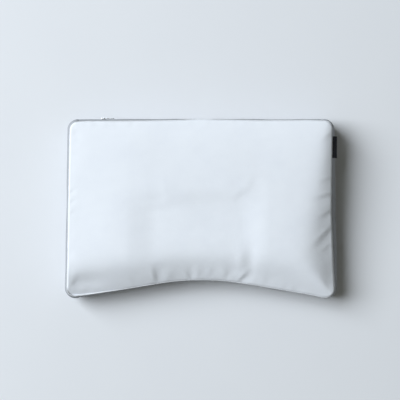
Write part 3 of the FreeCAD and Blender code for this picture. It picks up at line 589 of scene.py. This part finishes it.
def band_points(along, share, seed=3):
    """The side band's cloth: share runs from -1 at the base seam to 1 at the face seam. It lies in
    from the outermost line by its seam's inset times |share|^4.4, or ^2.2 in its upper half, plus
    shallow hills, puckers of a centimetre beside the seams, and a pinch at each upright join.
    Above its middle it stretches with its seam's height, by the square of share."""
    place, out = at_outline(along)
    inset = (np.where(share > 0, seam_inset(along), BAND_BULGE)
             * np.abs(share) ** np.where(share > 0, 2.2, 4.4))
    round_about = on_circle(along)
    height = (share * BAND_HALF).reshape(-1, 1)
    hills = rough_ball(np.hstack([round_about, height]), seed, 0.07).reshape(along.shape)
    puckers = rough_ball(np.hstack([round_about, height * 0.15]), seed + 1, 0.014)
    puckers = puckers.reshape(along.shape)
    at_seams = 1 - share ** 16
    inset += (0.0007 * (1 + hills) * (1 - share ** 6) * 0.6
              + 0.0004 * puckers * np.abs(share) ** 3 * at_seams)
    for join in (REAR_LEFT, FRONT_LEFT, FRONT_RIGHT, REAR_RIGHT):
        inset += 0.0011 * np.exp(-((along - join) / 0.0028) ** 2) * at_seams
    flat = place - out * inset[..., None]
    lift = np.where(share > 0, (seam_height(along) - BAND_HIGH) * share ** 2, 0)
    return np.concatenate([flat, (BAND_MIDDLE + share * BAND_HALF + lift)[..., None]], -1)


def band_panel(name, start, end, columns, rows=34):
    """One panel of the band as a grid: columns along it, rows closer together beside the seams."""
    share = np.sin(np.linspace(-1, 1, rows) * math.pi / 2)
    along, share = np.meshgrid(np.linspace(start, end, columns), share)
    points = band_points(along, share)
    cloth = np.stack([along, share * BAND_HALF], -1)
    piece = mesh_piece(name, points.reshape(-1, 3), grid_faces(rows, columns), uv=cloth.reshape(-1, 2))
    thicken(piece, 0.0013)
    return piece


grey_knit = cloth_material("grey_knit", KNIT, 560.0, (0.375, 0.39, 0.42), (0.345, 0.36, 0.39),
                           0.0004, sheen=0.03)
for panel, start, end, columns in (("left", REAR_LEFT, FRONT_LEFT, 330),
                                   ("neck", FRONT_LEFT, FRONT_RIGHT, 360),
                                   ("right", FRONT_RIGHT, REAR_RIGHT, 330)):
    piece = band_panel("band_" + panel, start, end, columns)
    dress(piece, grey_knit, "gusset_knit", panel + "_gusset")


# ---- Zip panels ---------------------------------------------------------------------------
# The rear of the band is two strips of the same grey knit, with the zip between them.
# Each strip's edge is turned in round a fold and top-stitched through to the zip tape.
def turned_panel(name, slot, hem, side):
    """A strip from its seam to the slot: the band's own curve, then a half circle of 1.6 mm round
    the fold, then the hem running back 4 mm behind it. side is 1 above the slot and -1 below."""
    fold = 0.0016
    start_share = side * (abs(slot - BAND_MIDDLE) + fold) / BAND_HALF
    columns, outer_rows = 420, 18
    share = side * np.sin(np.linspace(math.asin(min(1, abs(start_share))), math.pi / 2,
                                      outer_rows)[::-1])
    along, level = np.meshgrid(np.linspace(REAR_RIGHT, REAR_LEFT + AROUND, columns), share)
    outer = band_points(along, level)
    place, out = at_outline(along[-1])
    turn = np.linspace(0, math.pi, 9)[1:]
    path = [(fold * (1 - math.cos(t)), slot + side * fold * (1 - math.sin(t))) for t in turn]
    path += [(2 * fold + 0.0002, slot + side * (fold + hem * s)) for s in (0.5, 1.0)]
    edge = outer[-1]
    inner = [np.column_stack([edge[:, :2] - out * inset, np.full(columns, height)])
             for inset, height in path]
    points = np.vstack([outer, np.array(inner)])
    rows = len(points)
    across = np.concatenate([level[:, 0] * BAND_HALF, start_share * BAND_HALF
                             - side * 0.002 * np.arange(1, rows - outer_rows + 1)])
    cloth = np.stack(np.broadcast_arrays(along[0], across[:, None]), -1)
    piece = mesh_piece(name, points.reshape(-1, 3), grid_faces(rows, columns, flip=side > 0),
                       uv=cloth.reshape(-1, 2))
    thicken(piece, 0.0009)
    return piece


def stitch_row(name, centres, along, outwards, length=0.0022, width=0.0004, lift=0.0003):
    """A row of thread stitches: each is a spindle of five rings of six points about its own line,
    its radius width times sin of the share of its length, and it stands lift off the cloth."""
    share = np.linspace(0.08, 0.92, 5)
    turn = np.arange(6) * math.pi / 3
    third = np.cross(along, outwards)
    ring = np.sin(share * math.pi)[:, None, None] * width
    proud = lift * np.sin(share * math.pi)[:, None, None]
    body = (centres[:, None, None] + along[:, None, None] * ((share - 0.5) * length)[:, None, None]
            + outwards[:, None, None] * (ring * np.cos(turn)[:, None] * 0.8 + proud)
            + third[:, None, None] * ring * np.sin(turn)[:, None])
    one = grid_faces(5, 6, wrap=True)
    faces = (one + (np.arange(len(centres)) * 30)[:, None, None]).reshape(-1, 4).tolist()
    caps = np.concatenate([np.arange(5, -1, -1), np.arange(24, 30)]).reshape(2, 6)
    faces += (caps + (np.arange(len(centres)) * 30)[:, None, None]).reshape(-1, 6).tolist()
    return mesh_piece(name, body.reshape(-1, 3), faces, uv=body.reshape(-1, 3)[:, [0, 2]])


thread = cloth_material("white_thread", WEAVE, 14000.0, (0.85, 0.86, 0.88), (0.80, 0.81, 0.83), 0.0001)
slot_low, slot_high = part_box("zip_panel_lower")[1].z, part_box("zip_panel_upper")[0].z
for label, slot, side in (("upper", slot_high, 1), ("lower", slot_low, -1)):
    strip = turned_panel("zip_strip_" + label, slot, 0.004, side)
    dress(strip, grey_knit, "gusset_knit", "zip_panel_" + label)
    row = np.arange(REAR_RIGHT + 0.006, REAR_LEFT + AROUND - 0.004, 0.0032)
    level = np.full(row.shape, (slot + side * 0.0035 - BAND_MIDDLE) / BAND_HALF)
    centres = band_points(row, level)
    out = np.column_stack([at_outline(row)[1], np.zeros(len(row))])
    run = np.stack([-out[:, 1], out[:, 0], np.zeros(len(row))], 1)
    stitches = stitch_row("zip_stitches_" + label, centres, run, out)
    dress(stitches, thread, "seam_tape")


# ---- Zip ----------------------------------------------------------------------------------
# A moulded-tooth zip: white plastic teeth on white polyester tapes, the line from end to end.
# The plated slider meshes the teeth as it runs, and its pull swings on the slider's bail.
def moulded_material(name, colour, rough, metallic=0.0):
    """A moulded or plated finish: fine noise moves the roughness by a tenth and bumps it slightly."""
    material = bpy.data.materials.new(name)
    tree, add, shader = node_tree(material)
    place, grain = add("ShaderNodeTexCoord"), add("ShaderNodeTexNoise", Scale=700.0, Detail=3.0)
    level = add("ShaderNodeMapRange")
    level.inputs["To Min"].default_value = rough - 0.06
    level.inputs["To Max"].default_value = rough + 0.08
    marks = add("ShaderNodeGroup", node_tree=MOTTLE)
    marks.inputs[1].default_value = 260.0
    tone = two_tones(add, colour, [c * 0.86 for c in colour])
    bump = add("ShaderNodeBump", Strength=0.25, Distance=0.0001)
    wire(tree, (place, "Object", grain, "Vector"), (grain, "Fac", level, "Value"),
         (place, "Object", marks, "Place"), (marks, "Mask", tone, 0),
         (tone, 2, shader, "Base Color"), (level, 0, shader, "Roughness"),
         (grain, "Fac", bump, "Height"), (bump, "Normal", shader, "Normal"))
    shader.inputs["Metallic"].default_value = metallic
    return material


def softened(node, name, width, segments=2):
    """A copy of a CAD piece with its edges rounded: merged, its flats joined up, then bevelled."""
    piece = merged_copy(node, name, join_flats=True)
    piece.data.materials.clear()
    piece.data.polygons.foreach_set("use_smooth", [True] * len(piece.data.polygons))
    bevel = piece.modifiers.new("edges", "BEVEL")
    bevel.width, bevel.segments, bevel.limit_method = width, segments, "ANGLE"
    bevel.angle_limit, bevel.harden_normals = math.radians(28), True
    return piece


white_plastic = moulded_material("white_plastic", (0.80, 0.81, 0.82), 0.38)
plated_metal = moulded_material("plated_metal", (0.62, 0.63, 0.65), 0.24, metallic=1.0)
tape_weave = cloth_material("tape_weave", WEAVE, 7000.0, (0.78, 0.79, 0.81), (0.72, 0.73, 0.75), 0.0002)
for label in ("upper", "lower"):
    low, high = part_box("zip_tape_" + label)
    # The tape: a strip of even thickness whose two long edges are thickened by a 0.3 mm selvedge.
    share = np.linspace(-1, 1, 15)
    along, across = np.meshgrid(np.linspace(low.x, high.x, 300), share)
    swell = 0.00015 * (np.abs(across) > 0.86) + 0.00004 * np.sin(along * 900)
    middle = (low.y + high.y) / 2
    height = (low.z + high.z) / 2 + across * (high.z - low.z) / 2
    # Past the chain's two ends the tapes are drawn together, to 0.1 mm from its middle line.
    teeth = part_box("zip_teeth_" + label)
    chain = (teeth[0].x + teeth[1].x) / 2
    past = smoothstep(0.012, 0.026, np.abs(along - chain) - (teeth[1].x - teeth[0].x) / 2)
    middle_line = (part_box("zip_tape_lower")[1].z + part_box("zip_tape_upper")[0].z) / 2
    inner = high.z if label == "lower" else low.z
    inward = across if label == "lower" else -across
    height += (middle_line - inner) * 0.95 * past * (1 + inward) / 2
    points = np.stack([along, middle - swell, height], -1)
    tape = mesh_piece("tape_" + label, points.reshape(-1, 3), grid_faces(15, 300),
                      uv=np.stack([along, height], -1).reshape(-1, 2))
    thicken(tape, 0.0005, offset=0.0)
    dress(tape, tape_weave, "zip_tape", "zip_tape_" + label)
    row = softened("zip_teeth_" + label, "teeth_" + label, 0.00016, 1)
    dress(row, white_plastic, "zip_teeth", "zip_teeth_" + label)
for stop in ("zip_top_stop_upper", "zip_top_stop_lower", "zip_end_stop"):
    dress(softened(stop, stop[4:], 0.0002), white_plastic, "zip_teeth", stop)
for node, name, width, body in (("zip_slider", "slider_body", 0.00022, "slider"),
                                ("zip_pull", "slider_pull", 0.00030, "pull")):
    dress(softened(node, name, width), plated_metal, "zip_metal", node, body=body)


# ---- Face panel ---------------------------------------------------------------------------
# The upper panel of fine white knit, cut larger than its seam line, so the filling crowns it.
# It rolls over short at the rear and left and long at the neck, and dips over the centre chamber.
def panel_grid(columns, rows):
    """A grid over the face: its four edges run along the seam from corner to corner, closer near
    the corners, and inside, a point is the blend of the four edges less the blend of the corners."""
    angle = np.degrees(np.arctan2(seam_out[:, 1], seam_out[:, 0])) % 360
    corner = [int(np.argmin(np.abs(angle - a) + np.where(zone, 0, 999))) for a, zone in (
        (134.5, (seam_place[:, 0] < 0) & (seam_place[:, 1] > 0)),
        (220.0, (seam_place[:, 0] < 0) & (seam_place[:, 1] < 0)),
        (320.0, (seam_place[:, 0] > 0) & (seam_place[:, 1] < 0)),
        (45.5, (seam_place[:, 0] > 0) & (seam_place[:, 1] > 0)))]
    span = lambda a, b: np.arange(a, b + 1 if b > a else b + 1 + len(seam_points)) % len(seam_points)
    rear_left, front_left, front_right, rear_right = corner

    def spaced(path, count, blend=0.45):
        share = np.linspace(0, 1, count)
        share = (1 - blend) * share + blend * (0.5 - 0.5 * np.cos(math.pi * share))
        data = seam_points[path]
        run = np.concatenate([[0], np.cumsum(np.hypot(*np.diff(data, axis=0).T))])
        return np.stack([np.interp(share * run[-1], run, data[:, k]) for k in (0, 1)], -1), share

    front, u = spaced(span(front_left, front_right), columns)
    rear = spaced(span(rear_right, rear_left), columns)[0][::-1]
    left = spaced(span(rear_left, front_left), rows)[0][::-1]
    right, v = spaced(span(front_right, rear_right), rows)
    u, v = u[None, :, None], v[:, None, None]
    edges = (1 - v) * front[None] + v * rear[None] + (1 - u) * left[:, None] + u * right[:, None]
    corners = ((1 - u) * (1 - v) * front[0] + u * (1 - v) * front[-1]
               + (1 - u) * v * rear[0] + u * v * rear[-1])
    return edges - corners


def fold_along(plan, x, y, heading, length, width, depth, tail=0.15):
    """A fold in the cloth from (x, y) towards heading in degrees. Across it, a trough falls as
    exp(-(w/width)^2) on its far side and twice as wide on the other, between two low shoulders.
    Along it, it is deepest near its start and gone at its length."""
    way = np.array([math.cos(math.radians(heading)), math.sin(math.radians(heading))])
    run = (plan - [x, y]) @ way
    off = (plan - [x, y]) @ np.array([-way[1], way[0]])
    steep_side = 1 if -0.93 * -way[1] + 0.37 * way[0] > 0 else -1
    wide = (width * (0.7 + 0.6 * np.clip(run / length, 0, 1))
            * np.where(off * steep_side > 0, 1.0, 2.0))
    trough = np.exp(-(off / wide) ** 2) - 0.3 * np.exp(-((np.abs(off) / wide - 1.7) / 0.8) ** 2)
    return (-depth * trough * smoothstep(-0.3 * length, 0.15 * length, run)
            * (1 - smoothstep(tail * length, length, run)))


def face_height(plan, away, nearest):
    """The smooth top's height with the valleys, folds, puckers and hills listed below."""
    height = crown_height(plan, away, nearest)
    x, y = plan[..., 0], plan[..., 1]
    inner = smoothstep(0.0, 0.03, away)

    # Puckers that fan out from the hollow neck edge, where the cloth is drawn in to the seam:
    # place across, distance from the seam, heading, length, width and depth.
    for across, inside, heading, run, width, depth in (
            (-0.093, 0.014, 95, 0.042, 0.0080, 0.0017), (-0.020, 0.010, 116, 0.030, 0.0060, 0.0011),
            (0.002, 0.014, 92, 0.024, 0.0070, 0.0003), (0.026, 0.016, 80, 0.028, 0.0075, 0.0005),
            (0.062, 0.018, 88, 0.036, 0.0100, 0.0009), (0.088, 0.008, 39, 0.042, 0.0065, 0.0018),
            (-0.142, 0.016, 104, 0.030, 0.0090, 0.0005), (0.146, 0.018, 66, 0.034, 0.0100, 0.0005),
            (0.205, 0.016, 60, 0.030, 0.0090, 0.0004)):
        seam_y = ARCH_RISE - HALF_DEPTH - ARCH_RADIUS + math.sqrt(ARCH_RADIUS ** 2 - across ** 2)
        height += fold_along(plan, across, seam_y + inside, heading, run, width, depth)
    height -= 0.0016 * np.exp(-(((x - 0.108) / 0.013) ** 2 + ((y + 0.112) / 0.030) ** 2))
    height += 0.0010 * np.exp(-(((x - 0.086) / 0.012) ** 2 + ((y + 0.108) / 0.026) ** 2))

    # Slanting folds at the two ends, the corners, and the two ends of the centre chamber's rear seam.
    for fold in ((0.284, 0.028, 196, 0.056, 0.0065, 0.0014), (0.283, -0.048, 229, 0.072, 0.0085, 0.0019),
                 (0.283, 0.064, 205, 0.038, 0.0065, 0.0009), (0.283, -0.008, 214, 0.044, 0.0060, 0.0010),
                 (0.283, -0.082, 222, 0.040, 0.0070, 0.0008),
                 (-0.282, 0.034, 34, 0.020, 0.0036, 0.0005), (-0.282, 0.012, 32, 0.020, 0.0036, 0.0005),
                 (-0.282, -0.012, 30, 0.018, 0.0036, 0.0004), (0.280, -0.168, 118, 0.046, 0.0090, 0.0012),
                 (-0.274, -0.166, 52, 0.034, 0.0080, 0.0010), (0.284, 0.158, 226, 0.040, 0.0080, 0.0010),
                 (-0.272, 0.166, -46, 0.026, 0.0075, 0.0004), (0.078, 0.018, 32, 0.044, 0.0110, 0.0006),
                 (-0.084, 0.020, 158, 0.040, 0.0110, 0.0005), (0.118, 0.060, 250, 0.060, 0.0120, 0.0005)):
        height += fold_along(plan, *fold)
    height -= 0.0030 * np.exp(-(((x + 0.248) / 0.034) ** 2 + ((y + 0.156) / 0.016) ** 2))
    ledge = y - 0.014 - 0.006 * np.sin(x / 0.05)
    height -= (0.0004 * np.exp(-(ledge / 0.014) ** 2) * smoothstep(-0.12, -0.05, x)
               * (1 - smoothstep(0.04, 0.10, x)))

    # Long soft hills of the fibre under the cloth, and short puckers beside the seam.
    height += 0.0004 * rough_ball(plan.reshape(-1, 2), 11, 0.15).reshape(x.shape) * inner
    height += 0.00006 * rough_ball(plan.reshape(-1, 2), 12, 0.04).reshape(x.shape) * inner
    ripple = rough_ball(on_circle(SEAM_LINE), 13, 0.022)[nearest]
    height += 0.00018 * ripple * smoothstep(0, 0.004, away) * (1 - smoothstep(0.006, 0.020, away))
    return height


columns, rows = 300, 210
plan = panel_grid(columns, rows)
away, nearest = seam_distance(plan)
cover = np.concatenate([plan, face_height(plan, away, nearest)[..., None]], -1)
face = mesh_piece("face_cloth", cover.reshape(-1, 3), grid_faces(rows, columns), uv=plan.reshape(-1, 2))
thicken(face, 0.0012)
dress(face, white_knit, "cover_knit", "face_panel")


# ---- Seams --------------------------------------------------------------------------------
# Where the band meets the face and the base, the seam's turned edges make a low round ridge
# of the cover's own knit, held by a line of close stitches.
def seam_ridge(name, inset, height, radius, count=1500):
    """A round ridge along the outline moved in by inset: twelve points round each of its
    sections, whose radius swells and narrows by a tenth every few millimetres."""
    along = np.linspace(0, AROUND, count, endpoint=False)
    place, out = at_outline(along)
    centre = np.column_stack([place - out * inset(along)[:, None], height(along)])
    turn = np.arange(12) * math.pi / 6
    size = radius * (1 + 0.10 * rough_ball(on_circle(along), 21, 0.009))
    outwards = np.column_stack([out, np.zeros(count)])
    tube = (centre[:, None] + outwards[:, None] * (size[:, None] * np.cos(turn))[..., None]
            + np.array([0, 0, 1.0]) * (size[:, None] * np.sin(turn))[..., None])
    cloth = np.stack(np.broadcast_arrays(along[:, None], turn * radius), -1)
    ring = grid_faces(count, 12, wrap=True)
    last = np.stack([(count - 1) * 12 + np.arange(12), (count - 1) * 12 + (np.arange(12) + 1) % 12,
                     (np.arange(12) + 1) % 12, np.arange(12)], 1)
    return mesh_piece(name, tube.reshape(-1, 3), np.vstack([ring, last]), uv=cloth.reshape(-1, 2))


# The seam knit is coloured darker and greyer than white_knit: painted shade along the seam ridges, where
# face, band and base fold into the seam.
shaded_seam_knit = cloth_material("shaded_seam_knit", KNIT, 1500.0, (0.76, 0.775, 0.80), (0.72, 0.735, 0.765), 0.0003)
upper = seam_ridge("seam_upper", lambda s: seam_inset(s) - 0.0001,
                   lambda s: seam_height(s) - 0.0001, 0.0008)
lower = seam_ridge("seam_lower", lambda s: BAND_BULGE - 0.0004 + 0 * s,
                   lambda s: BAND_LOW - 0.0003 + 0 * s, 0.0011)
dress(upper, shaded_seam_knit, "seam_tape", "face_seam_edge")
dress(lower, shaded_seam_knit, "seam_tape", "base_seam_edge")


# ---- Labels -------------------------------------------------------------------------------
# A folded tab of dark blue satin ribbon caught in the right-hand seam, left blank,
# and a plain white satin care label sewn in at the left inside the cover.
def satin_material(name, fresh, dull):
    """Satin ribbon: the weave at a finer pitch, with a sheen and less roughness than the knits."""
    return cloth_material(name, WEAVE, 11000.0, fresh, dull, 0.00008, rough=0.6, sheen=0.02)


navy = satin_material("navy_satin", (0.004, 0.005, 0.016), (0.006, 0.008, 0.020))
low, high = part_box("side_label")
tab_length, tilt = high.y - low.y, math.radians(30)
reach = (high.x - low.x) / math.cos(tilt)
turn = np.linspace(-math.pi / 2, math.pi / 2, 9)
fold = np.concatenate([
    np.stack([np.linspace(0, reach - 0.0008, 14), np.full(14, -0.00045)], 1),
    np.stack([reach - 0.0008 + 0.00045 * np.cos(turn), 0.00045 * np.sin(turn)], 1)[1:-1],
    np.stack([np.linspace(reach - 0.0008, 0, 14), np.full(14, 0.00045)], 1)])
label_seam = place_along(0.29, False) - 0.055
root = np.array([low.x, float(seam_height(label_seam)) - 0.0030])
across = np.concatenate([[0], np.cumsum(np.hypot(*np.diff(fold, axis=0).T))])
along = np.linspace(low.y, high.y, 48)
drop = root + np.stack([fold[:, 0] * math.cos(tilt) + fold[:, 1] * math.sin(tilt),
                        -fold[:, 0] * math.sin(tilt) + fold[:, 1] * math.cos(tilt)], 1)
curl = (0.0009 * np.sin((along - low.y) / tab_length * math.pi * 1.3)[:, None]
        * (fold[:, 0] / reach)[None] ** 2)
grid = (len(along), len(fold))
tab = np.stack([np.broadcast_to(drop[:, 0], grid), np.broadcast_to(along[:, None], grid),
                drop[:, 1] - curl], -1)
label = mesh_piece("side_tab", tab.reshape(-1, 3), grid_faces(*grid),
                   uv=np.stack(np.broadcast_arrays(along[:, None], across), -1).reshape(-1, 2))
thicken(label, 0.0003, name="ribbon")
dress(label, navy, "side_label", "side_label")

low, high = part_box("care_label")
along, up = np.meshgrid(np.linspace(low.y, high.y, 24), np.linspace(low.z, high.z, 34))
sway = 0.0003 * np.sin((up - low.z) * 140) * ((up - low.z) / (high.z - low.z))
points = np.stack([np.full(along.shape, (low.x + high.x) / 2) + sway, along, up], -1)
care = mesh_piece("care_tab", points.reshape(-1, 3), grid_faces(*up.shape),
                  uv=np.stack([along, up], -1).reshape(-1, 2))
thicken(care, 0.0003, name="ribbon")
white_satin = satin_material("white_satin", (0.80, 0.80, 0.80), (0.74, 0.74, 0.75))
dress(care, white_satin, "care_label", "care_label")


# ---- Floor, light and camera --------------------------------------------------------------
# The pillow lies on a plain pale table top. One large soft window stands to its left and rear,
# and the camera looks straight down.
floor_half = 4.0
floor = mesh_piece("table_top", [(x * floor_half, y * floor_half, 0) for x, y in
                                 ((-1, -1), (1, -1), (1, 1), (-1, 1))],
                   [(0, 1, 2, 3)], smooth=False)
top = bpy.data.materials.new("painted_top")
tree, add, shader = node_tree(top)
place, grain = add("ShaderNodeTexCoord"), add("ShaderNodeTexNoise", Scale=6.0, Detail=2.0)
tone = two_tones(add, (0.755, 0.77, 0.805), (0.775, 0.79, 0.82))
wire(tree, (place, "Object", grain, "Vector"), (grain, "Fac", tone, 0),
     (tone, 2, shader, "Base Color"))
shader.inputs["Roughness"].default_value = 0.7
floor.data.materials.append(top)

from mathutils import Vector
window = bpy.data.lights.new("window", "AREA")
window.shape, window.size, window.size_y = "RECTANGLE", 6.4, 6.4
window.energy, window.color = 1120, (0.895, 0.950, 1.0)
lamp = bpy.data.objects.new("window", window)
lamp.location = (-5.9, 2.4, 6.3)
lamp.rotation_euler = (Vector((0, 0, 0.05)) - lamp.location).to_track_quat("-Z", "Y").to_euler()
bpy.context.scene.collection.objects.link(lamp)
room = bpy.data.worlds.new("room")
room.use_nodes = True
room.node_tree.nodes["Background"].inputs["Color"].default_value = (1.0, 1.0, 0.86, 1)
room.node_tree.nodes["Background"].inputs["Strength"].default_value = 0.12
bpy.context.scene.world = room
bpy.context.scene.view_settings.view_transform = "Standard"

camera = bpy.data.objects.new("camera", bpy.data.cameras.new("camera"))
camera.data.lens, camera.data.sensor_width = 100, 36
camera.location = (-0.002, 0.019, 2.486)
bpy.context.scene.collection.objects.link(camera)
bpy.context.scene.camera = camera
